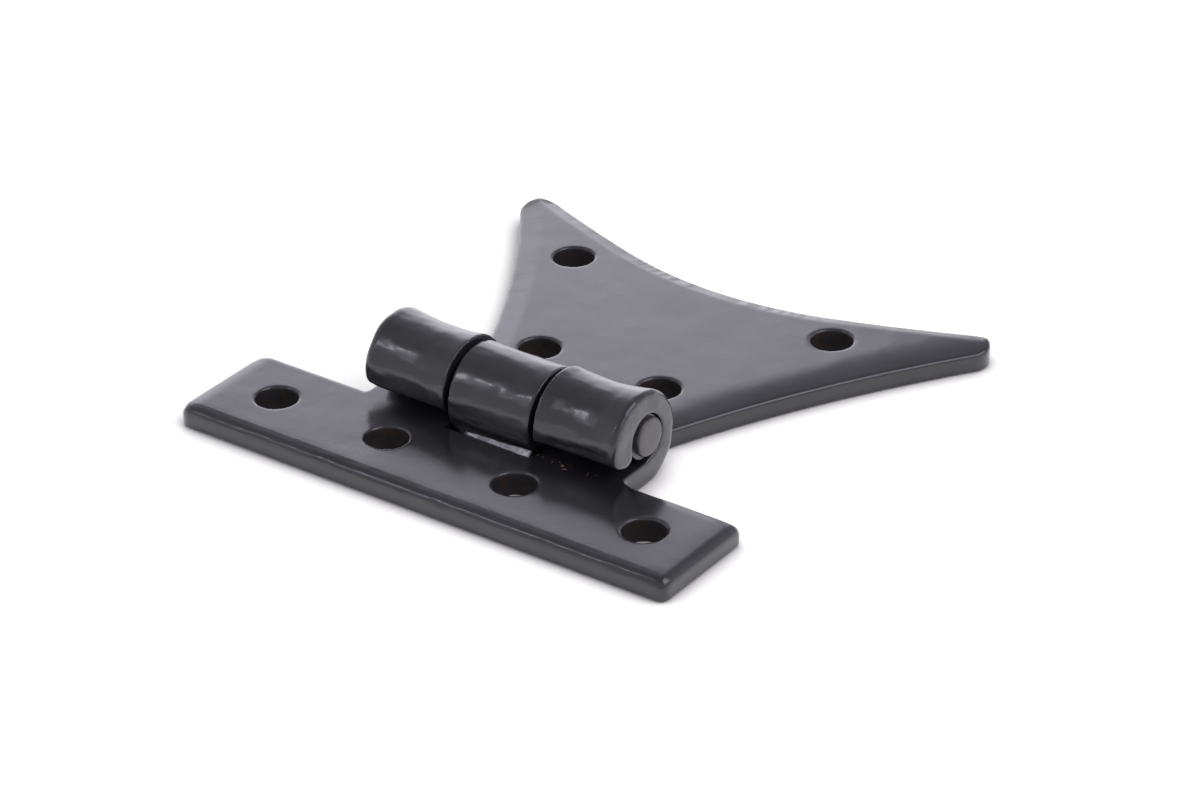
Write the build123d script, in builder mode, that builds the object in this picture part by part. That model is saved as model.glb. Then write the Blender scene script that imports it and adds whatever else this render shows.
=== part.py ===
from build123d import *
from math import sqrt
import os

# A half butterfly hinge of thick iron sheet, open and flat, as it is screwed on.
# X runs along the pin, Y points from the strip leaf to the wing leaf and Z is up.
# The origin is midway between the strip leaf's two outer screw holes, on its back face.
# All sizes are in millimetres.

# Sheet and screw holes
plate_thickness = 2.7
top_edge_round = 0.7
back_edge_break = 0.2
screw_hole_diameter = 5.0
screw_hole_lip = 0.25

# Strip leaf
strip_length = 64.2
strip_width = 14.2
strip_shift = -0.4
left_back_round = 2.2
left_front_round = 1.0
right_corner_round = 1.0
outer_screw_pitch = 48.5
inner_screw_pitch = 16.9
inner_screw_shift = -0.6
notch_depth = 1.3
notch_corner_round = 0.5

# Pin and barrel
pin_diameter = 5.0
pin_setback = 11.4
pin_clearance = 0.08
pin_lift = 0.27
pin_stand_out = 0.1
pin_end_break = 0.5
barrel_length = 33.7
left_end_setback = 0.3
knuckle_gap = 0.65
seam_gap = 0.5
roll_flat = 0.17
left_end_round = 1.2
right_end_round = 0.9
gap_rim_break = 0.35

# Outer knuckles, rolled with a thicker wall at their free end
outer_roll_swell = 0.19
outer_roll_offset = 0.6
left_rim_flare = 0.1
right_rim_flare = 0.36
right_waist = 0.2
waist_from_end = 4.4

# Middle knuckle, rolled tighter than its neighbours
middle_roll_draw = 0.16
middle_roll_offset = 0.2
middle_waist = 0.04

# Wing leaf, with its lengths measured from the pin
neck_clearance = 1.5
neck_half_width = 12.6
neck_corner_round = 1.0
side_hollow = 1.8
horn_half_span = 36.1
horn_from_pin = 46.3
horn_round = 2.1
hollow_from_pin = 35.9
hollow_half_width = 14.0
hollow_rise = 2.2
left_bevel_width = 2.7
right_bevel_width = 3.8
back_bevel_width = 1.9
bevel_drop = 0.5
wing_shift = 1.7
wing_tab_round = 0.8
wing_screw_shift = 0.75
neck_screw_pitch = 16.1
neck_screw_from_pin = 13.4
tip_screw_pitch = 35.2
tip_screw_from_pin = 32.9

# Worked out from the sizes above
screw_radius = screw_hole_diameter / 2
bore_radius = pin_diameter / 2 + pin_clearance
pin_height = bore_radius + plate_thickness + pin_lift
barrel_half = barrel_length / 2
knuckle_length = (barrel_length - 2 * knuckle_gap) / 3
middle_half = knuckle_length / 2
outer_start = middle_half + knuckle_gap
left_end = barrel_half - left_end_setback
outer_roll_radius = bore_radius + plate_thickness + outer_roll_swell
outer_roll_y = pin_setback - outer_roll_offset
outer_roll_z = outer_roll_radius - roll_flat
middle_roll_radius = bore_radius + plate_thickness - middle_roll_draw
middle_roll_y = pin_setback - middle_roll_offset
middle_roll_z = middle_roll_radius - roll_flat
strip_back = strip_width / 2
notch_floor = strip_back - notch_depth
neck_front = outer_roll_radius - outer_roll_offset + neck_clearance


def add_roll(centre_y, centre_z, left, waist, right):
    """Add a round roll along X, from its left rim through its waist to its right rim."""
    centre = (0, centre_y, centre_z)
    with BuildSketch(Plane(origin=centre, x_dir=(1, 0, 0), z_dir=(0, -1, 0))) as half_section:
        with BuildLine() as outline:
            Polyline(left, (left[0], 0), (right[0], 0), right)
            Spline(left, waist, right)
        make_face(outline.edges())
    revolve(half_section.sketch, axis=Axis(centre, (1, 0, 0)))


def rim(x):
    """The outer ring of a roll's end face at x."""
    return edges().filter_by(GeomType.CIRCLE).filter_by_position(Axis.X, x, x)


def cut_seam(left, right, side, roll_y, roll_z, roll_radius):
    """Cut the gap between a roll's rounded free end and the sheet it was rolled from."""
    wall = roll_radius + side * (roll_y - pin_setback) - bore_radius
    lip_z = plate_thickness + seam_gap + wall / 2
    outside = roll_y + side * sqrt(roll_radius**2 - (roll_z - lip_z) ** 2)
    inside = pin_setback + side * sqrt(bore_radius**2 - (pin_height - lip_z) ** 2)
    beyond = roll_y + side * 2 * roll_radius
    with BuildSketch(Plane.YZ.offset(left)) as gap:
        with Locations(((pin_setback + beyond) / 2, (plate_thickness + lip_z) / 2)):
            Rectangle(abs(beyond - pin_setback), lip_z - plate_thickness)
        with Locations(((outside + inside) / 2, lip_z)):
            Circle(abs(outside - inside) / 2, mode=Mode.SUBTRACT)
    extrude(gap.sketch, amount=right - left, mode=Mode.SUBTRACT)


def cut_bore():
    """Bore the barrel for the pin."""
    with BuildSketch(Plane.YZ.offset(-barrel_half)) as bore:
        with Locations((pin_setback, pin_height)):
            Circle(bore_radius)
    extrude(bore.sketch, amount=barrel_length, mode=Mode.SUBTRACT)


def drill_screw_pair(middle_x, pitch, y):
    """Drill a pair of plain screw holes from the face and break the edge of each there."""
    with Locations((middle_x, y, plate_thickness)):
        with GridLocations(pitch, 0, 2, 1):
            CounterSinkHole(screw_radius, screw_radius + screw_hole_lip, counter_sink_angle=90)


# The strip leaf's plate: a plain rectangle with a notch that clears the middle knuckle
with BuildPart() as strip_plate:
    with BuildSketch(Plane.XY):
        with Locations((strip_shift, 0)):
            Rectangle(strip_length, strip_width)
        left_corners = vertices().group_by(Axis.X)[0].sort_by(Axis.Y)
        fillet(left_corners[0], left_front_round)
        fillet(left_corners[-1], left_back_round)
        fillet(vertices().group_by(Axis.X)[-1], right_corner_round)
        with Locations((0, strip_back)):
            Rectangle(2 * outer_start, 2 * notch_depth, mode=Mode.SUBTRACT)
        notch_corners = vertices().filter_by(lambda v: abs(v.Y - notch_floor) < 0.001)
        fillet(notch_corners, notch_corner_round)
    extrude(amount=plate_thickness)
    fillet(faces().sort_by(Axis.Z)[-1].edges(), top_edge_round)
    chamfer(faces().sort_by(Axis.Z)[0].edges(), back_edge_break)
    drill_screw_pair(0, outer_screw_pitch, 0)
    drill_screw_pair(inner_screw_shift, inner_screw_pitch, 0)

# Strip leaf: the plate and its two tabs, rolled under, behind and over the pin
with BuildPart() as strip_leaf:
    add_roll(
        outer_roll_y,
        outer_roll_z,
        (-left_end, outer_roll_radius + left_rim_flare),
        (-(outer_start + left_end) / 2, outer_roll_radius + left_rim_flare / 2),
        (-outer_start, outer_roll_radius - left_rim_flare),
    )
    add_roll(
        outer_roll_y,
        outer_roll_z,
        (outer_start, outer_roll_radius),
        (barrel_half - waist_from_end, outer_roll_radius - right_waist),
        (barrel_half, outer_roll_radius + right_rim_flare),
    )
    chamfer(rim(-outer_start) + rim(outer_start), gap_rim_break)
    fillet(rim(-left_end), left_end_round)
    fillet(rim(barrel_half), right_end_round)
    split(bisect_by=Plane.XY, keep=Keep.TOP)
    tab_root = strip_back - 2 * top_edge_round
    for from_x, to_x in ((-left_end, -outer_start), (outer_start, barrel_half)):
        with Locations(((from_x + to_x) / 2, (tab_root + outer_roll_y) / 2, 0)):
            Box(
                to_x - from_x,
                outer_roll_y - tab_root,
                plate_thickness,
                align=(Align.CENTER, Align.CENTER, Align.MIN),
            )
    add(strip_plate.part)
    cut_bore()
    widest = outer_roll_radius + right_rim_flare
    cut_seam(-barrel_half, barrel_half, -1, outer_roll_y, outer_roll_z, widest)
strip_leaf.part.label = "strip_leaf"

# The wing leaf's outline with sharp corners: two concave sides and a hollow back edge
wing_plane = Plane(origin=(wing_shift, pin_setback, 0))
with BuildSketch(wing_plane) as sharp_wing:
    with BuildLine():
        horn = (horn_half_span, horn_from_pin)
        Line((0, neck_front), (neck_half_width, neck_front))
        SagittaArc((neck_half_width, neck_front), horn, side_hollow)
        hollow = TangentArc(
            (0, hollow_from_pin),
            (hollow_half_width, hollow_from_pin + hollow_rise),
            tangent=(1, 0),
        )
        TangentArc(hollow @ 1, horn, tangent=hollow % 1)
        mirror(about=Plane.YZ)
    make_face()

# The outline as it is cut: horns and neck rounded, with the tab that makes the middle knuckle
with BuildSketch(wing_plane) as wing_outline:
    add(sharp_wing.sketch_local)
    fillet(wing_outline.vertices().group_by(Axis.Y)[-1], horn_round)
    fillet(wing_outline.vertices().group_by(Axis.Y)[0], neck_corner_round)
    with Locations((-wing_shift, (neck_front - middle_roll_offset) / 2)):
        Rectangle(knuckle_length, neck_front + middle_roll_offset)
    tab_roots = wing_outline.vertices().filter_by(
        lambda v: abs(v.Y - neck_front) < 0.001 and abs(v.X + wing_shift) < outer_start
    )
    fillet(tab_roots, wing_tab_round)

# The wing leaf's plate: pressed thinner towards its sides and its back edge, then cut out
with BuildPart() as wing_plate:
    extrude(sharp_wing.sketch, amount=plate_thickness)
    for side, width in ((0, left_bevel_width), (-1, right_bevel_width)):
        face = faces().sort_by(Axis.Z)[-1]
        sides = face.edges().filter_by(GeomType.CIRCLE).sort_by(Axis.Y)[:2].sort_by(Axis.X)
        chamfer(sides[side], width, bevel_drop, reference=face)
    face = faces().sort_by(Axis.Z)[-1]
    back = face.edges().filter_by(GeomType.CIRCLE).sort_by(Axis.Y)[2:]
    chamfer(back, back_bevel_width, bevel_drop, reference=face)
    with Locations((0, pin_setback - middle_roll_offset, 0)):
        Box(
            knuckle_length + 2 * wing_tab_round,
            middle_roll_offset + neck_front,
            plate_thickness,
            align=(Align.CENTER, Align.MIN, Align.MIN),
        )
    extrude(wing_outline.sketch, amount=plate_thickness, mode=Mode.INTERSECT)
    chamfer(faces().sort_by(Axis.Z)[0].edges().sort_by(Axis.Y)[1:], back_edge_break)
    drill_screw_pair(wing_screw_shift, neck_screw_pitch, pin_setback + neck_screw_from_pin)
    drill_screw_pair(wing_screw_shift, tip_screw_pitch, pin_setback + tip_screw_from_pin)

# Wing leaf: the plate and its tab, rolled under, in front of and over the pin
with BuildPart() as wing_leaf:
    add_roll(
        middle_roll_y,
        middle_roll_z,
        (-middle_half, middle_roll_radius),
        (0, middle_roll_radius - middle_waist),
        (middle_half, middle_roll_radius),
    )
    chamfer(rim(-middle_half) + rim(middle_half), gap_rim_break)
    split(bisect_by=Plane.XY, keep=Keep.TOP)
    add(wing_plate.part)
    cut_bore()
    cut_seam(-middle_half, middle_half, 1, middle_roll_y, middle_roll_z, middle_roll_radius)
wing_leaf.part.label = "wing_leaf"

# Hinge pin: a plain round pin with the edges of its ends broken
pin_length = barrel_length + 2 * pin_stand_out
with BuildPart(Plane(origin=(0, pin_setback, pin_height), z_dir=(1, 0, 0))) as hinge_pin:
    Cylinder(pin_diameter / 2, pin_length)
    chamfer(edges().filter_by(GeomType.CIRCLE), pin_end_break)
hinge_pin.part.label = "hinge_pin"

os.makedirs("parts", exist_ok=True)
for piece in (strip_leaf, wing_leaf, hinge_pin):
    export_step(piece.part, f"parts/{piece.part.label}.step")
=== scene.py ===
# %% [markdown]
# # A half butterfly hinge in black enamel
#
# This lesson dresses one cabinet hinge: a straight strip leaf, a flared wing leaf with two horns,
# and the round pin that both are rolled round. It starts from the hinge's CAD frame, where the
# hinge lies flat on its back, with +X along the barrel and +Z up. Blender counts in metres. The
# hinge's own sizes are given in millimetres below, and MM turns them into metres.

# %% Start from the CAD frame
import math
import bmesh
import bpy
from mathutils import Matrix, Vector


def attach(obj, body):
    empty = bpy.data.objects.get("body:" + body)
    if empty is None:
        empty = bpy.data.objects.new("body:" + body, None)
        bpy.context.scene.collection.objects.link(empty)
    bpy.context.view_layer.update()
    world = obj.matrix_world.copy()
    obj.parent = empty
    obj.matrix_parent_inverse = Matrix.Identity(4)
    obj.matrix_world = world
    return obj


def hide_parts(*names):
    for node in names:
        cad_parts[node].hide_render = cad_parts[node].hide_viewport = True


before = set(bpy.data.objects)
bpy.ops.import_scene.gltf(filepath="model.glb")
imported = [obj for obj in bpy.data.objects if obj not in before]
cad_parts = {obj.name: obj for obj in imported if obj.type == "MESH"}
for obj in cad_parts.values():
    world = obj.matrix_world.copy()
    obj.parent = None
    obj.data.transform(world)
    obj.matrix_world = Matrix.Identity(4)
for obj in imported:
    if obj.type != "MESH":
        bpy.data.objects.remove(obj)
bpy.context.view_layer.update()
MM = 0.001
print("CAD nodes:", sorted(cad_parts))

# %% [markdown]
# ## The camera
#
# The photo is taken from the front right, about thirty degrees above the bench. A long lens far
# away keeps the two edges of the strip nearly parallel. The camera could be pushed about by hand
# until the picture fits. It is set here as a photographer would say it, because each value can
# then be corrected by itself: what it aims at, how far it stands back, how far it is turned
# round and tipped down, and the slight roll of the picture.

# %% The camera
camera_aim = Vector((10.68, 11.36, 8.19)) * MM
camera_distance = 420.44 * MM
camera_turn = math.radians(36.264)
camera_tip = math.radians(29.789)
camera_roll = math.radians(-1.072)
camera_lens = 120.4

level_right = Vector((math.cos(camera_turn), math.sin(camera_turn), 0.0))
towards_camera = Vector((
    math.sin(camera_turn) * math.cos(camera_tip),
    -math.cos(camera_turn) * math.cos(camera_tip),
    math.sin(camera_tip),
))
level_up = towards_camera.cross(level_right)
picture_right = math.cos(camera_roll) * level_right + math.sin(camera_roll) * level_up
picture_up = towards_camera.cross(picture_right)

camera_data = bpy.data.cameras.new("photo_camera")
camera_data.lens = camera_lens
camera_data.clip_start = 10.0 * MM
camera = bpy.data.objects.new("photo_camera", camera_data)
bpy.context.scene.collection.objects.link(camera)
turned = Matrix((picture_right, picture_up, towards_camera)).transposed().to_4x4()
camera.matrix_world = Matrix.Translation(camera_aim + camera_distance * towards_camera) @ turned
bpy.context.scene.camera = camera
print("camera stands at", [round(c / MM, 1) for c in camera.location], "mm")

# %% [markdown]
# ## The view settings
#
# The photo has a clean white and deep blacks. Blender's usual view setting copies film and would
# turn both a little grey. The plain one shows each colour as it is set, which also makes the
# enamel easier to match.

# %% The view settings
bpy.context.scene.view_settings.view_transform = "Standard"
print("view transform:", bpy.context.scene.view_settings.view_transform)

# %% [markdown]
# ## The steps that every finish needs
#
# A finish is a small net of nodes that ends in one shader. The net could be laid out by hand in
# the shader editor. A few helpers lay it here, because the same steps come back in the floor, the
# room and each finish of the hinge: start, tune, stretch a value, add or multiply two values.

# %% Start a finish and tune its shader
def new_finish(name):
    """A material, its nodes and links, and the shader that they lead to."""
    finish = bpy.data.materials.new(name)
    finish.use_nodes = True
    nodes, links = finish.node_tree.nodes, finish.node_tree.links
    return finish, nodes, links, nodes["Principled BSDF"]


def tune(shader, settings):
    for socket, value in settings.items():
        shader.inputs[socket].default_value = value


# %% Stretch a value, and add or multiply two
def spread(nodes, links, value, low, high, new_low, new_high):
    """Stretch a value's range from low to high over a new range, and hold it inside."""
    span = nodes.new("ShaderNodeMapRange")
    tune(span, {"From Min": low, "From Max": high, "To Min": new_low, "To Max": new_high})
    links.new(value, span.inputs["Value"])
    return span.outputs[0]


def calculate(nodes, links, operation, first, second):
    """Add or multiply two values, and keep the answer between nought and one."""
    answer = nodes.new("ShaderNodeMath")
    answer.operation = operation
    answer.use_clamp = True
    links.new(first, answer.inputs[0])
    links.new(second, answer.inputs[1])
    return answer.outputs[0]


# %% [markdown]
# ## The floor
#
# The hinge lies on a white sweep. A sheet that curves up at the back could be modelled. A broad
# plane is enough, because the camera looks down and never sees its far edge.

# %% The sweep
floor_size = 6.0
floor_drop = 0.02 * MM

bpy.ops.object.select_all(action="DESELECT")
bpy.ops.mesh.primitive_plane_add(size=floor_size, location=(0.0, 0.0, -floor_drop))
floor = bpy.context.object
floor.name = "floor"
print("floor", floor_size, "m wide,", floor_drop / MM, "mm under the hinge")

# %% [markdown]
# The sweep is lit from behind as well, so it is white right up to the hinge, and white in its
# gloss too. A lamp behind the plane can't do that, because a plane lets no light through. So the
# plane shines by itself, but only for what looks at it: it adds no light under the leaves. Where
# the hinge stands close, the shine fades, which leaves the thin shadow at the contact.

# %% The sweep's finish
contact_reach = 4.0 * MM
shut_in, wide_open = 0.5, 0.85
backlight = 0.5

floor_finish, nodes, links, shader = new_finish("white_sweep")
tune(shader, {
    "Base Color": (0.92, 0.905, 0.835, 1.0),
    "Roughness": 0.9,
    "Specular IOR Level": 0.0,
    "Emission Color": (1.0, 1.0, 1.0, 1.0),
})
rays = nodes.new("ShaderNodeLightPath").outputs
looked_at = calculate(nodes, links, "ADD", rays["Is Camera Ray"], rays["Is Glossy Ray"])
looked_at = calculate(nodes, links, "ADD", looked_at, rays["Is Transmission Ray"])
open_sky = nodes.new("ShaderNodeAmbientOcclusion")
open_sky.inputs["Distance"].default_value = contact_reach
shine = spread(nodes, links, open_sky.outputs["AO"], shut_in, wide_open, 0.0, backlight)
shine = calculate(nodes, links, "MULTIPLY", looked_at, shine)
links.new(shine, shader.inputs["Emission Strength"])
floor.data.materials.append(floor_finish)
print(floor_finish.name, "has", len(nodes), "nodes")

# %% [markdown]
# ## The light
#
# The room is white and soft, brightest near the horizon and dimmer overhead. A picture of a real
# studio round the scene would light it too, but its parts can't be tuned one by one. A fade from
# the horizon up can, and its dim top keeps the enamel black. The light is slightly cool, as from
# daylight tubes.

# %% The room
cool_white = (0.905, 0.895, 1.0)
horizon_brightness, overhead_brightness = 0.74, 0.40
fade_start, fade_end = 0.25, 0.95

world = bpy.data.worlds.new("white_room")
world.use_nodes = True
nodes, links = world.node_tree.nodes, world.node_tree.links
direction = nodes.new("ShaderNodeTexCoord").outputs["Generated"]
split_direction = nodes.new("ShaderNodeSeparateXYZ")
links.new(direction, split_direction.inputs[0])
fade = spread(
    nodes, links, split_direction.outputs["Z"], fade_start, fade_end,
    horizon_brightness, overhead_brightness,
)
fade.node.interpolation_type = "SMOOTHSTEP"
nodes["Background"].inputs["Color"].default_value = (*cool_white, 1.0)
links.new(fade, nodes["Background"].inputs["Strength"])
bpy.context.scene.world = world
print("room brightness from", horizon_brightness, "down to", overhead_brightness, "overhead")

# %% [markdown]
# A wide low panel stands behind the hinge, and the flat tops of the leaves mirror it. The wing
# sees all of it and the strip only its weaker upper part, so the wing looks lighter. A broad box
# on the right lights the rest. A narrow one at the front left draws the streaks along the barrel,
# and a very small bright one beside it gives the sparks on its rims. Area lamps are chosen over
# points or a sun, because enamel mirrors a lamp's shape as well as its light.

# %% The lamps
panel_x, panel_y, panel_width = -0.72, 0.60, 0.81
barrel_spot = (0.0, 0.01, 0.01)


def soft_box(name, centre, aim, wide, high, brightness):
    """An area lamp of even brightness, sized in metres, which the camera doesn't see."""
    lamp = bpy.data.lights.new(name, "AREA")
    lamp.shape = "RECTANGLE"
    lamp.size = wide
    lamp.size_y = high
    lamp.color = cool_white
    lamp.energy = brightness * math.pi * wide * high
    box = bpy.data.objects.new(name, lamp)
    bpy.context.scene.collection.objects.link(box)
    box.location = centre
    box.rotation_euler = (Vector(aim) - Vector(centre)).to_track_quat("-Z", "Y").to_euler()
    box.visible_camera = False
    print(name, "power", round(lamp.energy, 2), "W")


for name, centre, aim, wide, high, brightness in (
    ("back_panel", (panel_x, panel_y, 0.215), (panel_x, 0.0, 0.215), panel_width, 0.43, 1.12),
    ("upper_panel", (panel_x, panel_y, 0.48), (panel_x, 0.0, 0.48), panel_width, 0.10, 0.92),
    ("right_box", (0.55, 0.15, 0.60), (0.0, 0.02, 0.0), 0.6, 0.6, 2.2),
    ("streak_box", (-0.375, -0.42, 0.47), barrel_spot, 0.06, 0.40, 1.7),
    ("spark_box", (-0.384, -0.41, 0.47), barrel_spot, 0.02, 0.02, 60.0),
):
    soft_box(name, centre, aim, wide, high, brightness)

# %% [markdown]
# ## The black enamel
#
# Both leaves are sheet iron under stoved black enamel: nearly black, slightly blue, and satin
# enough that the barrel shows in the strip as a soft dark patch. A painted image could carry its
# unevenness. Noise is chosen, because it needs no file and stays sharp close up. It is laid on
# each piece's own coordinates, so that it rides along when the hinge turns.

# %% Noise, bumps and mixed colours
def own_place(nodes):
    return nodes.new("ShaderNodeTexCoord").outputs["Object"]


def noise_layer(nodes, links, place, scale, detail=3.0):
    """Soft noise, with scale in waves per metre."""
    noise = nodes.new("ShaderNodeTexNoise")
    tune(noise, {"Scale": scale, "Detail": detail, "Roughness": 0.55})
    links.new(place, noise.inputs["Vector"])
    return noise.outputs["Fac"]


def bump_layer(nodes, links, height, depth, before=None):
    """A bump of that depth in metres, on top of the one before it."""
    bump = nodes.new("ShaderNodeBump")
    tune(bump, {"Strength": 1.0, "Distance": depth})
    links.new(height, bump.inputs["Height"])
    if before:
        links.new(before, bump.inputs["Normal"])
    return bump.outputs["Normal"]


def mix_colours(nodes, links, share, first, second):
    """The first colour where share is nought and the second where it is one."""
    mix = nodes.new("ShaderNodeMix")
    mix.data_type = "RGBA"
    for socket, colour in ((6, first), (7, second)):
        if isinstance(colour, tuple):
            mix.inputs[socket].default_value = (*colour, 1.0)
        else:
            links.new(colour, mix.inputs[socket])
    links.new(share, mix.inputs[0])
    return mix.outputs[2]


# %% [markdown]
# Enamel is a clear gloss over a dark ground, so the shader's coat does the gloss and its base the
# ground. Slow clouds vary the ground, faster waves are the paint's orange peel, and the fastest
# are dust in the lacquer. Under the right knuckle rust breaks through in specks. They are the
# same enamel with one more layer, so one function makes both.

# %% The enamel, plain and with rust specks
enamel_dark, enamel_light = (0.0125, 0.012, 0.0155), (0.020, 0.019, 0.0235)
rust_speck = (0.45, 0.24, 0.12)
cloud_scale, speck_scale, peel_scale, dust_scale = 120.0, 2200.0, 900.0, 4000.0
peel_depth, dust_depth = 0.010 * MM, 0.0018 * MM


def enamel_finish(name, rusty=False):
    """Satin black enamel, with specks of rust breaking through it where asked."""
    finish, nodes, links, shader = new_finish(name)
    tune(shader, {
        "IOR": 1.5,
        "Coat Weight": 1.0,
        "Coat Roughness": 0.17,
        "Coat IOR": 1.5,
        "Specular IOR Level": 0.3,
    })
    place = own_place(nodes)
    cloudy = noise_layer(nodes, links, place, cloud_scale)
    lightness = spread(nodes, links, cloudy, 0.35, 0.65, 0.0, 1.0)
    colour = mix_colours(nodes, links, lightness, enamel_dark, enamel_light)
    if rusty:
        specks = noise_layer(nodes, links, place, speck_scale, detail=1.0)
        specks = spread(nodes, links, specks, 0.64, 0.69, 0.0, 1.0)
        colour = mix_colours(nodes, links, specks, colour, rust_speck)
    links.new(colour, shader.inputs["Base Color"])
    links.new(spread(nodes, links, cloudy, 0.3, 0.7, 0.26, 0.36), shader.inputs["Roughness"])
    orange_peel = noise_layer(nodes, links, place, peel_scale, detail=2.0)
    dust = noise_layer(nodes, links, place, dust_scale, detail=1.0)
    normal = bump_layer(nodes, links, orange_peel, peel_depth)
    normal = bump_layer(nodes, links, dust, dust_depth, normal)
    links.new(normal, shader.inputs["Normal"])
    links.new(normal, shader.inputs["Coat Normal"])
    print(name, "has", len(nodes), "nodes")
    return finish


enamel = enamel_finish("black_enamel")
rusty_enamel = enamel_finish("rust_specked_enamel", rusty=True)

# %% [markdown]
# ## The walls of the holes
#
# Little enamel runs into a punched hole, so its wall is duller, rougher and browner than the
# sheet round it. A dark colour alone would look like a shadow. A thin coat over rusty noise keeps
# a dull edge light on the wall, as the photo has.

# %% The walls of the holes
hole_black, hole_rust = (0.018, 0.016, 0.016), (0.040, 0.020, 0.012)
rust_scale, hole_pit_scale = 900.0, 2500.0
hole_pit_depth = 0.02 * MM

hole_finish, nodes, links, shader = new_finish("rusty_hole_walls")
tune(shader, {
    "Coat Weight": 0.25,
    "Coat Roughness": 0.25,
    "Specular IOR Level": 0.25,
    "Roughness": 0.6,
})
place = own_place(nodes)
rust = noise_layer(nodes, links, place, rust_scale)
rust = spread(nodes, links, rust, 0.5, 0.75, 0.0, 1.0)
rust = mix_colours(nodes, links, rust, hole_black, hole_rust)
links.new(rust, shader.inputs["Base Color"])
pits = noise_layer(nodes, links, place, hole_pit_scale)
links.new(bump_layer(nodes, links, pits, hole_pit_depth), shader.inputs["Normal"])
print(hole_finish.name, "has", len(nodes), "nodes")

# %% [markdown]
# ## The pin's finish
#
# The pin is rubbed by its knuckles and by hands, so its enamel is thin, and greyer where it has
# worn. It could wear a second, bare finish in patches. One noise that moves the colour and the
# roughness together is simpler, and it never shows a hard border.

# %% The pin's enamel
pin_black, pin_worn = (0.028, 0.026, 0.029), (0.062, 0.055, 0.055)
wear_and_highlight_scale, pin_pit_scale = 700.0, 1800.0
pin_pit_depth = 0.01 * MM

pin_finish, nodes, links, shader = new_finish("pin_enamel")
tune(shader, {"Coat Weight": 0.6, "Coat Roughness": 0.25})
place = own_place(nodes)
worn = noise_layer(nodes, links, place, wear_and_highlight_scale)
worn = spread(nodes, links, worn, 0.42, 0.62, 0.0, 1.0)
worn_colour = mix_colours(nodes, links, worn, pin_black, pin_worn)
links.new(worn_colour, shader.inputs["Base Color"])
links.new(spread(nodes, links, worn, 0.0, 1.0, 0.32, 0.5), shader.inputs["Roughness"])
pits = noise_layer(nodes, links, place, pin_pit_scale)
links.new(bump_layer(nodes, links, pits, pin_pit_depth), shader.inputs["Normal"])
print(pin_finish.name, "has", len(nodes), "nodes")

# %% [markdown]
# ## Painted highlight on the notch burr
#
# The up-facing faces of the burr along the notch get a light grey metal colour: a painted
# highlight for the bright band of light along the notch. A very light enamel would shine
# everywhere alike. A metal mirrors the lamps more strongly than the room, so the band glints where
# it tilts and goes grey beside.

# %% The painted highlight on the burr
# Light grey colours of the painted highlight, far lighter than the enamel round them.
burr_highlight_dim, burr_highlight_bright = (0.24, 0.235, 0.255), (0.42, 0.41, 0.44)

painted_burr_highlight, nodes, links, shader = new_finish("painted_burr_highlight")
tune(shader, {"Metallic": 1.0})
place = own_place(nodes)
highlight_patches = noise_layer(nodes, links, place, wear_and_highlight_scale)
highlight_patches = spread(nodes, links, highlight_patches, 0.42, 0.58, 0.0, 1.0)
highlight_colour = mix_colours(nodes, links, highlight_patches, burr_highlight_dim, burr_highlight_bright)
links.new(highlight_colour, shader.inputs["Base Color"])
links.new(spread(nodes, links, highlight_patches, 0.0, 1.0, 0.5, 0.35), shader.inputs["Roughness"])
print(painted_burr_highlight.name, "has", len(nodes), "nodes")

# %% [markdown]
# ## Working by hand in code
#
# Each piece starts as plain bars and blocks, laid down at their size and place, and is then cut,
# joined and rounded, much as a smith works. A list of points and faces could make the same mesh,
# but nobody could read the hinge in it. A new primitive is left selected, and so is the CAD, so
# everything is let go before the next piece is taken hold of.

# %% Take hold of a piece, and set one down
def deselect_all():
    if bpy.context.object and bpy.context.object.mode != "OBJECT":
        bpy.ops.object.mode_set(mode="OBJECT")
    bpy.ops.object.select_all(action="DESELECT")


def take_hold(piece):
    deselect_all()
    piece.select_set(True)
    bpy.context.view_layer.objects.active = piece


def set_down(name):
    """Name the new piece and put its place and size into its mesh."""
    piece = bpy.context.object
    piece.name = name
    piece.data.name = name
    take_hold(piece)
    bpy.ops.object.transform_apply(location=True, rotation=True, scale=True)
    return piece


# %% Blocks and bars
def block(name, low, high):
    """A square block between two corners."""
    deselect_all()
    low, high = Vector(low) * MM, Vector(high) * MM
    bpy.ops.mesh.primitive_cube_add(size=1.0, location=(low + high) / 2)
    bpy.context.object.scale = high - low
    return set_down(name)


def bar(name, start, end, radius, sides=128):
    """A round bar between two points."""
    deselect_all()
    start, end = Vector(start) * MM, Vector(end) * MM
    bpy.ops.mesh.primitive_cylinder_add(
        vertices=sides,
        radius=radius * MM,
        depth=(end - start).length,
        location=(start + end) / 2,
        rotation=(end - start).to_track_quat("Z", "Y").to_euler(),
    )
    return set_down(name)


# %% [markdown]
# With a mouse one clicks the points and edges to work on. A script could keep their numbers, but
# those change with every cut. It asks each point for its place instead, so a step still finds
# what it needs after a size has changed.

# %% Select by place
same_place = 0.002


def near(value, place):
    return abs(value - place) < same_place


def select_points(piece, wanted):
    """Open a piece for editing with only the points selected that lie where wanted says."""
    take_hold(piece)
    bpy.ops.object.mode_set(mode="EDIT")
    bpy.ops.mesh.select_mode(type="VERT")
    bpy.ops.mesh.select_all(action="DESELECT")
    mesh = bmesh.from_edit_mesh(piece.data)
    for point in mesh.verts:
        if wanted(point.co / MM):
            point.select_set(True)
    mesh.select_flush(True)
    bmesh.update_edit_mesh(piece.data)


def select_edges(piece, wanted):
    """Open a piece for editing with only the edges selected whose ends both lie so."""
    take_hold(piece)
    bpy.ops.object.mode_set(mode="EDIT")
    bpy.ops.mesh.select_mode(type="EDGE")
    bpy.ops.mesh.select_all(action="DESELECT")
    mesh = bmesh.from_edit_mesh(piece.data)
    for edge in mesh.edges:
        if all(wanted(end.co / MM) for end in edge.verts):
            edge.select_set(True)
    bmesh.update_edit_mesh(piece.data)


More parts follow.
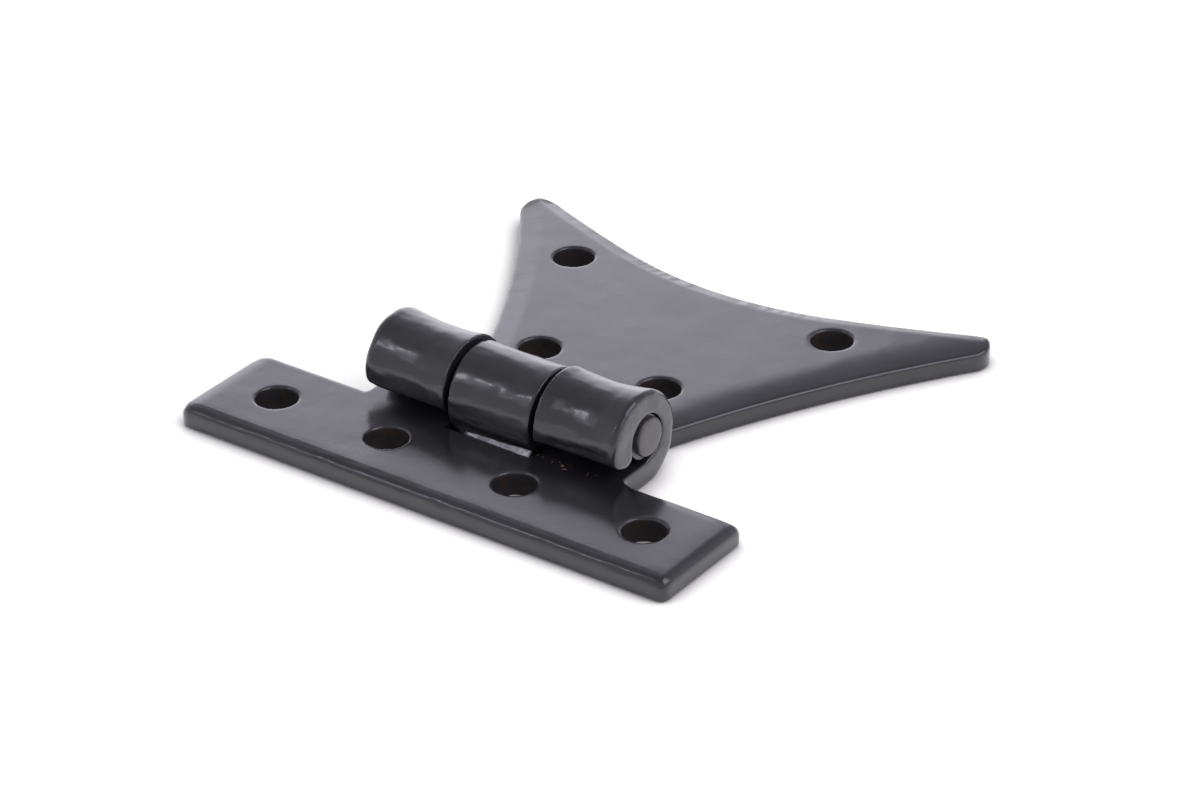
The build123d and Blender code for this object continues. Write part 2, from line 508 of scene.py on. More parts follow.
# %% Round edges
def round_edges(piece, wanted, radius, steps=6):
    select_edges(piece, wanted)
    bpy.ops.mesh.bevel(offset=radius * MM, segments=steps, profile=0.5, affect="EDGES")
    bpy.ops.object.mode_set(mode="OBJECT")


# %% [markdown]
# Boolean modifiers do the work of the saw and the drill: a cutter is modelled, taken away from
# the piece and thrown out. Parts of one leaf are only laid together, because the skin that comes
# over them later welds them, and each boolean that isn't needed is a risk less.

# %% Cut, join and measure
def combine(piece, other, way):
    """Join or cut a piece with another one, which is used up."""
    take_hold(piece)
    step = piece.modifiers.new("combine", "BOOLEAN")
    step.operation = way
    step.solver = "EXACT"
    step.object = other
    bpy.ops.object.modifier_apply(modifier=step.name)
    bpy.data.objects.remove(other, do_unlink=True)


def cut(piece, other):
    combine(piece, other, "DIFFERENCE")


def lay_together(piece, *others):
    """Make overlapping solids one object."""
    take_hold(piece)
    for other in others:
        other.select_set(True)
    bpy.ops.object.join()


def count(piece):
    """Print a piece's triangles, height and volume, and whether it is closed."""
    triangles = sum(len(face.vertices) - 2 for face in piece.data.polygons)
    low = min(point.co.z for point in piece.data.vertices) / MM
    high = max(point.co.z for point in piece.data.vertices) / MM
    solid = bmesh.new()
    solid.from_mesh(piece.data)
    volume = solid.calc_volume() / MM**3
    open_edges = sum(1 for edge in solid.edges if not edge.is_manifold)
    solid.free()
    print(
        piece.name, "has", triangles, "triangles, z", round(low, 3), "to", round(high, 3),
        "volume", round(volume), "mm3, open edges", open_edges,
    )


# %% [markdown]
# ## The strip leaf's plate
#
# On the real hinge this is a straight piece of thick sheet, with its corners filed off and a
# notch in its back edge that clears the middle knuckle. The left end is filed rounder than the
# right one. It could be drawn and pulled up, as the wing is, but a straight plate needs no
# drawing: a block with bevelled corners and a notch cut out is all it takes.

# %% The strip's plate and its filed corners
plate_thickness = 2.7
strip_left, strip_right = -32.5, 31.7
strip_half_width = 7.1

strip_leaf = block(
    "strip_leaf_black",
    (strip_left, -strip_half_width, 0.0),
    (strip_right, strip_half_width, plate_thickness),
)
for x, y, corner_round in (
    (strip_left, strip_half_width, 2.2),
    (strip_left, -strip_half_width, 1.6),
    (strip_right, strip_half_width, 1.0),
    (strip_right, -strip_half_width, 1.0),
):
    round_edges(strip_leaf, lambda p: near(p.x, x) and near(p.y, y), corner_round)
count(strip_leaf)

# %% The notch, and the strip's long edges
notch_half_width, notch_floor = 6.05, 5.3
notch_round = 0.5
top_round, back_round = 1.0, 0.2
past = 1.0
hair = 0.05

notch = block(
    "notch",
    (-notch_half_width, notch_floor, -past),
    (notch_half_width, strip_half_width + 2 * past, plate_thickness + past),
)
round_edges(notch, lambda p: near(p.y, notch_floor), notch_round)
cut(strip_leaf, notch)


def in_notch(p):
    """Whether a point lies in the notch, short of its two mouth corners."""
    return p.y > notch_floor - hair and abs(p.x) < notch_half_width - hair


round_edges(
    strip_leaf, lambda p: near(p.z, plate_thickness) and not in_notch(p), top_round, steps=8
)
round_edges(strip_leaf, lambda p: near(p.z, 0.0), back_round, steps=2)
count(strip_leaf)

# %% [markdown]
# ## The outer knuckles
#
# The strip has two tabs, rolled under the pin, up behind it and over its top, so that their
# free ends come down in front, just above the plate. A tab could be bent round the pin in many
# small steps. A fat bar along the barrel is simpler, with rings that are widened or narrowed one
# by one, because the hammer drew the right knuckle in at its waist and let both flare outside.

# %% A roll with rings of changing width
pin_y, pin_z = 11.4, 5.55
bore_radius = 2.58
roll_rings = 7
back_trim = 0.04
close_enough = 0.001 * MM


def slice_through(piece, place, direction, **trim):
    """Cut a ring of points through a piece, at a place in millimetres."""
    take_hold(piece)
    bpy.ops.object.mode_set(mode="EDIT")
    bpy.ops.mesh.select_all(action="SELECT")
    bpy.ops.mesh.bisect(
        plane_co=Vector(place) * MM, plane_no=direction, threshold=close_enough, **trim
    )
    bpy.ops.object.mode_set(mode="OBJECT")


def roll(name, left, right, centre_y, centre_z, radius_at, left_round, right_round, lean=None):
    """A knuckle before its bore, with rings as wide as radius_at says, cut flat at the back."""
    base = radius_at(left)
    piece = bar(name, (left, centre_y, centre_z), (right, centre_y, centre_z), base)
    places = [left + (right - left) * ring / roll_rings for ring in range(1, roll_rings)]
    for x in places:
        slice_through(piece, (x, 0.0, 0.0), (1.0, 0.0, 0.0))
    for x in [left] + places + [right]:
        share = radius_at(x) / base
        select_points(piece, lambda p: near(p.x, x))
        bpy.ops.transform.resize(
            value=(1.0, share, share),
            center_override=(x * MM, centre_y * MM, centre_z * MM),
        )
        if lean:
            bpy.ops.transform.translate(value=(0.0, lean(x) * MM, 0.0))
        bpy.ops.object.mode_set(mode="OBJECT")
    round_edges(piece, lambda p: near(p.x, left), left_round)
    round_edges(piece, lambda p: near(p.x, right), right_round)
    slice_through(
        piece, (0.0, 0.0, back_trim), (0.0, 0.0, 1.0), clear_inner=True, use_fill=True
    )
    return piece


# %% A width that narrows and widens
def through_three(a, b, c):
    """The parabola through three points, as a function of x."""
    def height(x):
        return (
            a[1] * (x - b[0]) * (x - c[0]) / ((a[0] - b[0]) * (a[0] - c[0]))
            + b[1] * (x - a[0]) * (x - c[0]) / ((b[0] - a[0]) * (b[0] - c[0]))
            + c[1] * (x - a[0]) * (x - b[0]) / ((c[0] - a[0]) * (c[0] - b[0]))
        )
    return height


# %% The left knuckle, leaning back at its end
outer_radius = 5.47
outer_y, outer_z = 10.8, 5.30
inner_end_round = 0.1
left_end, left_waist_x, left_start = -17.05, -10.0, -5.65
left_flare, left_waist, left_inner_flare = 0.22, 0.22, 0.06
left_end_round = 1.2
lean_from, lean_slope = -8.0, 0.045

left_roll = roll(
    "left_roll", left_end, left_start, outer_y, outer_z,
    through_three(
        (left_end, outer_radius + left_flare),
        (left_waist_x, outer_radius - left_waist),
        (left_start, outer_radius + left_inner_flare),
    ),
    left_end_round, inner_end_round, lean=lambda x: lean_slope * max(0.0, lean_from - x),
)
count(left_roll)

# %% The right knuckle, and both tabs
right_start, right_waist_x, right_end = 6.05, 12.45, 16.85
right_flare, right_waist = 0.36, 0.2
right_end_round = 0.8
tab_root = 5.7

right_roll = roll(
    "right_roll", right_start, right_end, outer_y, outer_z,
    through_three(
        (right_start, outer_radius),
        (right_waist_x, outer_radius - right_waist),
        (right_end, outer_radius + right_flare),
    ),
    inner_end_round, right_end_round,
)
count(right_roll)
left_tab = block("left_tab", (left_end, tab_root, 0.0), (left_start, outer_y, plate_thickness))
right_tab = block(
    "right_tab", (right_start, tab_root, 0.0), (right_end, outer_y, plate_thickness)
)

# %% [markdown]
# ## Bore and seam
#
# The bore is drilled through each knuckle. The seam is the open slot where the rounded free end of
# the rolled tab stops just short of the plate. A plain slot would leave that end square. So the
# cutter is a block from which a bar, as thick as the tab, is taken first: what stays of the
# knuckle behind it is the round lip. The bar's low side is pulled towards the pin, because the
# hammer curled the strip's lips in.

# %% Bore and seam
cutter_reach = 20.0
lip_band = 0.15
curl_reach = 1.1


def bore(piece):
    start, end = (-cutter_reach, pin_y, pin_z), (cutter_reach, pin_y, pin_z)
    cut(piece, bar("bore", start, end, bore_radius))


def seam_cutter(side, roll_y, roll_z, roll_radius, seam_gap, curl=0.0):
    """The gap before a rolled tab's free end, along the whole barrel, with the end half-round."""
    wall = roll_radius + side * (roll_y - pin_y) - bore_radius
    lip_z = plate_thickness + seam_gap + wall / 2
    outside = roll_y + side * math.sqrt(roll_radius**2 - (roll_z - lip_z) ** 2)
    inside = pin_y + side * math.sqrt(bore_radius**2 - (pin_z - lip_z) ** 2)
    near_y, far_y = sorted((pin_y, roll_y + side * 2 * roll_radius))
    gap = block("gap", (-cutter_reach, near_y, plate_thickness), (cutter_reach, far_y, lip_z))
    middle, lip_radius = (outside + inside) / 2, abs(outside - inside) / 2
    lip_end = cutter_reach + past
    lip = bar("lip", (-lip_end, middle, lip_z), (lip_end, middle, lip_z), lip_radius)
    select_points(lip, lambda p: p.z < lip_z - lip_radius + lip_band)
    bpy.ops.transform.translate(
        value=(0.0, -side * curl * MM, 0.0),
        use_proportional_edit=True, proportional_edit_falloff="SMOOTH",
        proportional_size=curl_reach * lip_radius * MM,
    )
    bpy.ops.object.mode_set(mode="OBJECT")
    cut(gap, lip)
    return gap


# %% [markdown]
# The left lip was never hammered quite home, and its outer end stands up from the plate. Its slot
# could be bent upwards. A wedge is easier to place: a block over the end, whose inner top edge is
# pushed down until the block slopes, cuts the rest away.

# %% Open the two outer knuckles
left_seam, left_curl = 0.7, 0.4
right_seam, right_curl = 0.95, 0.7
lift_start, lift_front = -13.8, 2.0
lift_top, lift_fall = 6.2, 2.9

bore(left_roll)
cut(left_roll, seam_cutter(-1, outer_y, outer_z, outer_radius, left_seam, left_curl))
lift = block(
    "lift", (-cutter_reach, lift_front, plate_thickness), (lift_start, pin_y, lift_top)
)
select_points(lift, lambda p: near(p.x, lift_start) and near(p.z, lift_top))
bpy.ops.transform.translate(value=(0.0, 0.0, -lift_fall * MM))
bpy.ops.object.mode_set(mode="OBJECT")
cut(left_roll, lift)
count(left_roll)
bore(right_roll)
cut(right_roll, seam_cutter(
    -1, outer_y, outer_z, outer_radius + right_flare, right_seam, right_curl
))
count(right_roll)

# %% [markdown]
# ## The screw holes
#
# Four plain holes through the strip, five millimetres across, in two pairs. Drilled holes would
# be straight. These are punched, so they narrow a little towards the back, and the bar that cuts
# each of them is squeezed at its lower end. The enamel rounds their rims later.

# %% Punch the strip's holes
hole_radius = 2.5
punch_taper = 0.75
strip_holes = [(-24.25, 0.0), (-9.05, 0.0), (7.85, 0.0), (24.25, 0.0)]


def punch(piece, x, y):
    hole = bar("hole", (x, y, -past), (x, y, plate_thickness + past), hole_radius, sides=96)
    select_points(hole, lambda p: p.z < 0)
    bpy.ops.transform.resize(
        value=(punch_taper, punch_taper, 1.0), center_override=(x * MM, y * MM, -past * MM)
    )
    bpy.ops.object.mode_set(mode="OBJECT")
    cut(piece, hole)


for x, y in strip_holes:
    punch(strip_leaf, x, y)
count(strip_leaf)
lay_together(strip_leaf, left_tab, right_tab, left_roll, right_roll)

# %% [markdown]
# ## The wing leaf's outline
#
# The wing is cut from the same sheet: two concave sides run out to the horns, and the back edge
# is hollow between them. It could be cut from a block by big round cutters. Its outline is drawn
# instead, as one would scribe it with compasses, because then the horns' tips follow from the
# arcs that they join. The drawing is of the right half, and the left half is its mirror.

# %% The outline's sizes
wing_middle = 1.7
neck = Vector((12.6, 6.37))
horn = Vector((37.3, 47.3))
horn_round = 2.5
side_hollow = 1.8
shoulder = Vector((14.0, 38.1))
hollow_floor = 35.9
print("wing", round(2 * horn.x, 1), "mm across before its horns are rounded")


# %% Arcs, and where two circles meet
def arc_points(centre, start, end, steps):
    """Points after start, up to end, the short way round a centre."""
    first, last = start - centre, end - centre
    turn = first.angle_signed(last)
    return [
        centre + Matrix.Rotation(-turn * step / steps, 2) @ first
        for step in range(1, steps + 1)
    ]


def meeting_point(centre_a, reach_a, centre_b, reach_b, close_to):
    """Where two circles meet, taking the place close to a point."""
    between = centre_b - centre_a
    along = (reach_a**2 - reach_b**2 + between.length**2) / (2 * between.length)
    off = math.sqrt(reach_a**2 - along**2)
    forward = between.normalized()
    sideways = Vector((-forward.y, forward.x))
    places = [centre_a + along * forward + sign * off * sideways for sign in (-1, 1)]
    return min(places, key=lambda place: (place - close_to).length)


# %% The three big arcs
side_chord = horn - neck
side_radius = side_chord.length**2 / (8 * side_hollow) + side_hollow / 2
outwards = Vector((side_chord.y, -side_chord.x)).normalized()
side_centre = (neck + horn) / 2 + (side_radius - side_hollow) * outwards

hollow_rise = shoulder.y - hollow_floor
hollow_radius = (shoulder.x**2 + hollow_rise**2) / (2 * hollow_rise)
hollow_centre = Vector((0.0, hollow_floor + hollow_radius))

upwards = (hollow_centre - shoulder).normalized()
back_chord = horn - shoulder
back_radius = back_chord.length**2 / (2 * back_chord.dot(upwards))
back_centre = shoulder + back_radius * upwards
print("radii", [round(radius, 1) for radius in (side_radius, hollow_radius, back_radius)], "mm")

# %% The round tip, and the whole outline
side_steps, tip_steps, back_steps, hollow_steps = 36, 8, 16, 12

tip = meeting_point(
    side_centre, side_radius + horn_round, back_centre, back_radius + horn_round, horn
)
side_touch = side_centre + side_radius * (tip - side_centre).normalized()
tip_end = tip + horn_round * (tip - shoulder).normalized()
back_touch = back_centre + back_radius * (tip - back_centre).normalized()
neck_centre, hollow_middle = Vector((0.0, neck.y)), Vector((0.0, hollow_floor))
right_half = (
    [neck_centre, neck]
    + arc_points(side_centre, neck, side_touch, side_steps)
    + arc_points(tip, side_touch, tip_end, tip_steps)
    + arc_points(tip, tip_end, back_touch, tip_steps)
    + arc_points(back_centre, back_touch, shoulder, back_steps)
    + arc_points(hollow_centre, shoulder, hollow_middle, hollow_steps)
)
left_half = [Vector((-point.x, point.y)) for point in reversed(right_half[1:-1])]
wing_points = [(p.x + wing_middle, p.y + pin_y, 0.0) for p in right_half + left_half]
print("outline of", len(wing_points), "points, horn centred at", [round(c, 2) for c in tip])

# %% [markdown]
# ## The wing leaf's plate
#
# One point is pulled from place to place along the outline, as a scriber runs over the sheet. The
# line is closed into a face, and the face is pulled up to the sheet's thickness. A curve with a
# thickness of its own would do as well, but it would still have to be turned into a mesh before
# its edges can be broken.

# %% Scribe the outline and pull it up
def scribed_sheet(name, points, thickness):
    """A plate whose outline is drawn by extruding one point from place to place."""
    deselect_all()
    bpy.ops.mesh.primitive_plane_add(size=MM, location=Vector(points[0]) * MM)
    piece = set_down(name)
    take_hold(piece)
    bpy.ops.object.mode_set(mode="EDIT")
    bpy.ops.mesh.select_mode(type="VERT")
    bpy.ops.mesh.select_all(action="SELECT")
    bpy.ops.mesh.merge(type="CENTER")
    for here, there in zip(points, points[1:]):
        step = (Vector(there) - Vector(here)) * MM
        bpy.ops.mesh.extrude_region_move(TRANSFORM_OT_translate={"value": step})
    bpy.ops.mesh.select_all(action="SELECT")
    bpy.ops.mesh.edge_face_add()
    bpy.ops.mesh.extrude_region_move(
        TRANSFORM_OT_translate={"value": (0.0, 0.0, thickness * MM)}
    )
    bpy.ops.mesh.select_all(action="SELECT")
    bpy.ops.mesh.normals_make_consistent(inside=False)
    bpy.ops.object.mode_set(mode="OBJECT")
    return piece


wing_leaf = scribed_sheet("wing_leaf_black", wing_points, plate_thickness)
count(wing_leaf)

# %% Break the wing's edges and punch its holes
neck_round = 0.6
wing_top_round = 0.25
wing_holes = [(-7.3, 24.8), (8.8, 24.8), (-16.85, 44.3), (18.35, 44.3)]

for neck_x in (wing_middle - neck.x, wing_middle + neck.x):
    round_edges(wing_leaf, lambda p: near(p.x, neck_x) and near(p.y, pin_y + neck.y), neck_round)
round_edges(wing_leaf, lambda p: near(p.z, plate_thickness), wing_top_round, steps=3)
round_edges(wing_leaf, lambda p: near(p.z, 0.0), back_round, steps=2)
for x, y in wing_holes:
    punch(wing_leaf, x, y)
count(wing_leaf)

# %% [markdown]
# ## The middle knuckle
#
# The wing's tab is rolled round the pin the other way, so its seam is at the back, where the
# photo doesn't look. It could be left closed, but then the hinge would be wrong from behind. The
# same roll, bore and seam cutter make it, with the seam on the other side.

# %% The middle knuckle, its tab, bore and seam
middle_radius, middle_waist = 5.3, 0.04
middle_y, middle_z = 10.9, 4.95
middle_half = 5.4
middle_seam = 0.75

middle_roll = roll(
    "middle_roll", -middle_half, middle_half, middle_y, middle_z,
    through_three(
        (-middle_half, middle_radius),
        (0.0, middle_radius - middle_waist),
        (middle_half, middle_radius),
    ),
    inner_end_round, inner_end_round,
)
bore(middle_roll)
cut(middle_roll, seam_cutter(1, middle_y, middle_z, middle_radius, middle_seam))
count(middle_roll)
middle_tab = block(
    "middle_tab",
    (-middle_half, middle_y, 0.0),
    (middle_half, pin_y + neck.y + past, plate_thickness),
)
lay_together(wing_leaf, middle_tab, middle_roll)

# %% [markdown]
# ## The hinge pin
#
# A plain round bar through the three knuckles. Its ends were dressed with a hammer, which left a
# flat, slightly smaller head on each, a little off the bar's middle. One bar with bevelled ends
# could only have heads in its middle, so each head is a short bar of its own, united with the
# long one. Two narrow rings inside its flat keep the shading there even.

# %% The pin
pin_radius, pin_half = 2.5, 16.3
pin_left, pin_right = -16.95, 16.95
head_radius, head_shift, head_length = 2.2, 0.25, 1.0
head_round, head_ring = 0.3, 0.8

hinge_pin = bar(
    "hinge_pin_black", (-pin_half, pin_y, pin_z), (pin_half, pin_y, pin_z), pin_radius, sides=96
)
for x, inwards in ((pin_left, head_length), (pin_right, -head_length)):
    head = bar(
        "head", (x, pin_y + head_shift, pin_z), (x + inwards, pin_y + head_shift, pin_z),
        head_radius, sides=96,
    )
    round_edges(head, lambda p: near(p.x, x), head_round, steps=4)
    select_points(head, lambda p: near(p.x, x))
    for ring in range(2):
        bpy.ops.mesh.inset(thickness=head_ring * MM)
    bpy.ops.object.mode_set(mode="OBJECT")
    combine(hinge_pin, head, "UNION")
count(hinge_pin)

# %% [markdown]
# ## One skin of enamel
#
# Enamel lies over a leaf as one soft skin. Bevels on every edge would give it too, but where a
# knuckle meets the plate they seldom hold. A voxel remesh welds the solids that were laid
# together into one fine mesh, and a smoothing can then round each edge as thick paint does. The
# remesh leaves the top a hair uneven, so it is pressed flat again before anything mirrors in it.

# %% Lay the skin
strip_grain, wing_grain = 0.22, 0.24
uneven = 0.04


def skin(piece, grain):
    """Weld a leaf into one mesh with squares of that grain, and flatten its top face."""
    take_hold(piece)
    mesh_step = piece.modifiers.new("even mesh", "REMESH")
    mesh_step.mode = "VOXEL"
    mesh_step.voxel_size = grain * MM
    bpy.ops.object.modifier_apply(modifier=mesh_step.name)
    select_points(piece, lambda p: abs(p.z - plate_thickness) < uneven)
    bpy.ops.transform.resize(
        value=(1.0, 1.0, 0.0), center_override=(0.0, 0.0, plate_thickness * MM)
    )
    bpy.ops.object.mode_set(mode="OBJECT")
    count(piece)


skin(strip_leaf, strip_grain)
skin(wing_leaf, wing_grain)

# %% [markdown]
# ## Pressed edges
#
# The real leaves are not flat to their edges: the sheet was hammered thinner there. A wide bevel
# would make a straight slope. With proportional editing one pushes the edge down and the sheet
# follows, less and less the further in it lies. The back face is hidden meanwhile, so it stays
# flat.

# %% Press an edge down
back_height = 0.3
top_low, top_high = 1.9, 3.0


def press_edge(piece, wanted, drop, reach, falloff):
    """Push the top edge down where wanted says. The pull fades out at that reach."""
    select_points(piece, lambda p: p.z < back_height)
    bpy.ops.mesh.hide(unselected=False)
    mesh = bmesh.from_edit_mesh(piece.data)
    edge_points = 0
    for point in mesh.verts:
        if top_low < point.co.z / MM < top_high and wanted(point.co.xy / MM):
            point.select_set(True)
            edge_points += 1
    bmesh.update_edit_mesh(piece.data)
    bpy.ops.transform.translate(
        value=(0.0, 0.0, -drop * MM),
        use_proportional_edit=True,
        proportional_edit_falloff=falloff,
        proportional_size=reach * MM,
    )
    bpy.ops.mesh.reveal(select=False)
    bpy.ops.object.mode_set(mode="OBJECT")
    print(piece.name, "pressed at", edge_points, "points")


# %% The wing's sides and back
edge_band = 0.12
neck_clear = 1.0


def on_wing(place):
    """A place in the wing's own sketch, mirrored to its right half."""
    return Vector((abs(place.x - wing_middle), place.y - pin_y))


def by_side(place):
    spot = on_wing(place)
    behind_neck = spot.y > neck.y + neck_clear
    return behind_neck and (spot - side_centre).length - side_radius < edge_band


def by_back(place):
    spot = on_wing(place)
    if spot.x < shoulder.x:
        return (spot - hollow_centre).length - hollow_radius < edge_band
    return (spot - back_centre).length - back_radius < edge_band


for wanted, drop, reach, falloff in (
    (lambda p: p.x < wing_middle and by_side(p), 0.5, 2.7, "LINEAR"),
    (lambda p: p.x > wing_middle and by_side(p), 0.5, 4.6, "SHARP"),
    (by_back, 0.5, 1.9, "LINEAR"),
):
    press_edge(wing_leaf, wanted, drop, reach, falloff)

# %% The strip's ends, front and right back edge
end_band, front_band = 0.3, 0.25
beyond_barrel = 18.5

for wanted, drop, reach in (
    (lambda p: p.x > strip_right - end_band, 0.12, 3.0),
    (lambda p: p.x < strip_left + end_band, 0.4, 2.4),
    (lambda p: p.y < -strip_half_width + front_band, 0.07, 2.2),
    (lambda p: p.x > beyond_barrel and p.y > strip_half_width - end_band, 0.4, 1.8),
):
    press_edge(strip_leaf, wanted, drop, reach, "SHARP")

# %% [markdown]
# ## Soft edges
#
# Paint draws back from a sharp edge and fills a corner. The Smooth modifier does the same to the
# fine mesh. A subdivision would round edges too, but it would make four squares of each, and
# there are enough. The rims of the knuckles at the notch are kept crisper: they are a named group
# of points, which the first rounds of smoothing leave out.

# %% Name a group of points, and soften
def point_group(piece, name, wanted):
    """A named group of points, which a modifier can use or leave out."""
    take_hold(piece)
    piece.vertex_groups.new(name=name)
    select_points(piece, wanted)
    bpy.ops.object.vertex_group_assign()
    bpy.ops.object.mode_set(mode="OBJECT")


def soften(piece, rounds, all_but=""):
    take_hold(piece)
    soft_step = piece.modifiers.new("soft edges", "SMOOTH")
    soft_step.factor = 0.5
    soft_step.iterations = rounds
    soft_step.vertex_group = all_but
    soft_step.invert_vertex_group = bool(all_but)
    bpy.ops.object.modifier_apply(modifier=soft_step.name)


# %% Soften both leaves
rim_near, rim_far = 5.2, 6.3
rim_low = plate_thickness + 0.3
sheet_rounds, rim_rounds = 4, 2

for leaf in (strip_leaf, wing_leaf):
    point_group(leaf, "rims", lambda p: rim_near < abs(p.x) < rim_far and p.z > rim_low)
    soften(leaf, sheet_rounds, all_but="rims")
    soften(leaf, rim_rounds)
    count(leaf)

# %% [markdown]
# ## The hammer's waves
#
# Worked iron is never quite even, and a gloss shows it at once. A bump in the finish would bend
# the gloss but leave the outline straight. A Displace modifier moves the surface itself, by a
# cloudy texture. The texture hangs on an empty, whose scale stretches the clouds along the
# barrel, and the empty goes once the modifier is applied.

# %% Push a surface in waves
def cloud_texture(name, size):
    clouds = bpy.data.textures.new(name, type="CLOUDS")
    clouds.noise_scale = size * MM
    clouds.noise_depth = 1
    return clouds


def push_in_waves(piece, texture, depth, group=None, stretch=1.0):
    """Shallow waves, pushed inwards only so that the piece keeps its outer size."""
    bpy.ops.object.empty_add()
    guide = bpy.context.object
    guide.scale = (stretch, 1.0, 1.0)
    take_hold(piece)
    wave_step = piece.modifiers.new("waves", "DISPLACE")
    wave_step.texture = texture
    wave_step.texture_coords = "OBJECT"
    wave_step.texture_coords_object = guide
    wave_step.strength = depth * MM
    wave_step.mid_level = 1.0
    if group:
        wave_step.vertex_group = group
    bpy.ops.object.modifier_apply(modifier=wave_step.name)
    bpy.data.objects.remove(guide, do_unlink=True)
    print(piece.name, "has", texture.name, "up to", depth, "mm deep")


# %% Waves on the sheet, and deeper ones on the barrel
sheet_waves = cloud_texture("sheet_waves", 5.0)
barrel_waves = cloud_texture("barrel_waves", 2.0)
sheet_depth, barrel_depth = 0.05, 0.15
barrel_stretch = 1.8
barrel_low = plate_thickness + 0.7

for leaf in (strip_leaf, wing_leaf):
    push_in_waves(leaf, sheet_waves, sheet_depth)
    point_group(leaf, "barrel", lambda p: p.z > barrel_low)
    take_hold(leaf)
    bpy.ops.object.mode_set(mode="EDIT")
    bpy.ops.mesh.select_all(action="SELECT")
    bpy.ops.object.vertex_group_smooth(group_select_mode="ACTIVE", factor=0.5, repeat=6)
    bpy.ops.object.mode_set(mode="OBJECT")
    push_in_waves(leaf, barrel_waves, barrel_depth, group="barrel", stretch=barrel_stretch)

# %% [markdown]
# The strip's front edge has small dings, which catch the light as a broken line. Each could be
# pressed in by itself. Finer clouds, held to a group of points along that edge, are quicker, and
# the ends of the strip stay smooth.

# %% Dings on the strip's front edge
front_start, ding_low = -5.9, 1.6
dings = cloud_texture("dings", 1.3)
ding_depth, ding_stretch = 0.09, 2.2

point_group(strip_leaf, "front edge", lambda p: p.y < front_start and p.z > ding_low)
push_in_waves(strip_leaf, dings, ding_depth, group="front edge", stretch=ding_stretch)

# %% [markdown]
# ## The burr along the notch
#
# The strip's edge at the notch has been squeezed up into a thin ragged burr. It could be pulled
# out of the skin, but the mesh there is too coarse for a ragged line. So it is a small wedge of
# its own, laid into the strip: a block whose front is pushed down into the plate and whose left
# end is lower, divided finely and roughened by small clouds.

# %% The burr
burr_low, burr_high = Vector((-2.9, 5.0, 2.3)), Vector((5.95, 5.62, 3.28))
front_fall, left_fall = 0.56, 0.35
burr_cuts, ragged_depth = 24, 0.11

burr = block("burr", burr_low, burr_high)
select_points(burr, lambda p: near(p.y, burr_low.y) and near(p.z, burr_high.z))
bpy.ops.transform.translate(value=(0.0, 0.0, -front_fall * MM))
bpy.ops.object.mode_set(mode="OBJECT")
select_points(burr, lambda p: near(p.x, burr_low.x) and p.z > burr_low.z + 0.2)
bpy.ops.transform.translate(value=(0.0, 0.0, -left_fall * MM))
bpy.ops.mesh.select_all(action="SELECT")
bpy.ops.mesh.subdivide(number_cuts=burr_cuts)
bpy.ops.object.mode_set(mode="OBJECT")
push_in_waves(burr, cloud_texture("ragged", 0.9), ragged_depth)
count(burr)
lay_together(strip_leaf, burr)

# %% [markdown]
# ## Smooth shading
#
# Both leaves are round everywhere now, so they are shaded smooth all over. The pin keeps its flat
# heads, so only edges that bend less than forty degrees are shaded smooth on it.

# %% Smooth shading
flat_angle = math.radians(40)

for leaf in (strip_leaf, wing_leaf):
    take_hold(leaf)
    bpy.ops.object.shade_smooth()
    count(leaf)
take_hold(hinge_pin)
bpy.ops.object.shade_smooth_by_angle(angle=flat_angle)
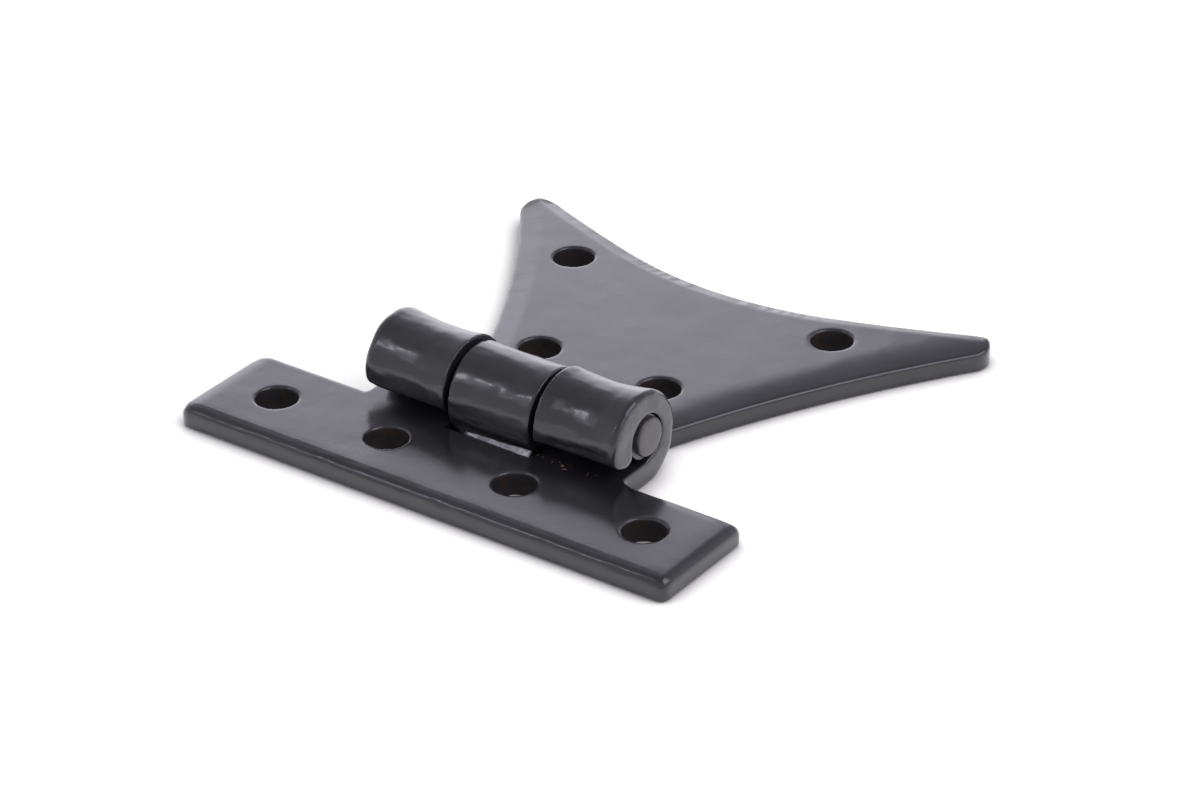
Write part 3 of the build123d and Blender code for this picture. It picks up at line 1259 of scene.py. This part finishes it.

# %% [markdown]
# ## Dress the bodies
#
# When the hinge opens, the wing leaf turns about the pin, and the pin is tight in the strip's
# knuckles, so it stays with the strip. Each piece is told which body it rides and gets its finish,
# and the CAD node that it takes the place of is hidden.

# %% Dress the bodies
for piece, body, node, slot_name, finish in (
    (strip_leaf, "strip", "strip_leaf", "black_sheet", enamel),
    (wing_leaf, "wing", "wing_leaf", "black_sheet", enamel),
    (hinge_pin, "strip", "hinge_pin", "black_pin", pin_finish),
):
    piece.data.materials.clear()
    piece.data.materials.append(finish)
    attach(piece, body)
    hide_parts(node)
    print(piece.name, "rides", body, "with", finish.name)


# %% [markdown]
# ## Finishes on some faces only
#
# The holes' walls, the rust specks under the right knuckle and the painted highlight on the notch
# burr belong to the same sheet, so they are faces of the leaf with a finish of their own and not
# pieces. A mask painted on the leaf could mix the finishes too, but faces picked by their place
# and the way they look need no picture.

# %% Give faces a finish of their own
def finish_faces(piece, finish, wanted):
    piece.data.materials.append(finish)
    take_hold(piece)
    piece.active_material_index = len(piece.data.materials) - 1
    bpy.ops.object.mode_set(mode="EDIT")
    bpy.ops.mesh.select_mode(type="FACE")
    bpy.ops.mesh.select_all(action="DESELECT")
    mesh = bmesh.from_edit_mesh(piece.data)
    faces = 0
    for face in mesh.faces:
        if wanted(face.calc_center_median() / MM, face.normal):
            face.select_set(True)
            faces += 1
    bmesh.update_edit_mesh(piece.data)
    bpy.ops.object.material_slot_assign()
    bpy.ops.object.mode_set(mode="OBJECT")
    print(piece.name, "has", finish.name, "on", faces, "faces")


def in_a_box(spot, low, high):
    return all(start < value < end for start, value, end in zip(low, spot, high))


# %% The walls of the holes
steep = 0.6
rim_depth, wall_band = 0.2, 0.1


def in_a_hole(spot, normal, places):
    return (
        abs(normal.z) < steep and spot.z < plate_thickness - rim_depth
        and any(math.hypot(spot.x - x, spot.y - y) < hole_radius + wall_band for x, y in places)
    )


finish_faces(strip_leaf, hole_finish, lambda spot, normal: in_a_hole(spot, normal, strip_holes))
finish_faces(wing_leaf, hole_finish, lambda spot, normal: in_a_hole(spot, normal, wing_holes))

# %% The rust specks and the painted highlight on the burr
speck_low, speck_high = (6.1, 4.9, 2.3), (14.0, 6.3, 2.9)
highlight_low, highlight_high = (-2.4, 5.02, 2.62), (5.98, 5.75, 4.0)
toward_light_enough = 0.2

finish_faces(
    strip_leaf, rusty_enamel, lambda spot, normal: in_a_box(spot, speck_low, speck_high)
)
# The burr's faces that turn up towards the lamps get the painted highlight.
finish_faces(
    strip_leaf, painted_burr_highlight,
    lambda spot, normal: in_a_box(spot, highlight_low, highlight_high) and normal.z > toward_light_enough,
)
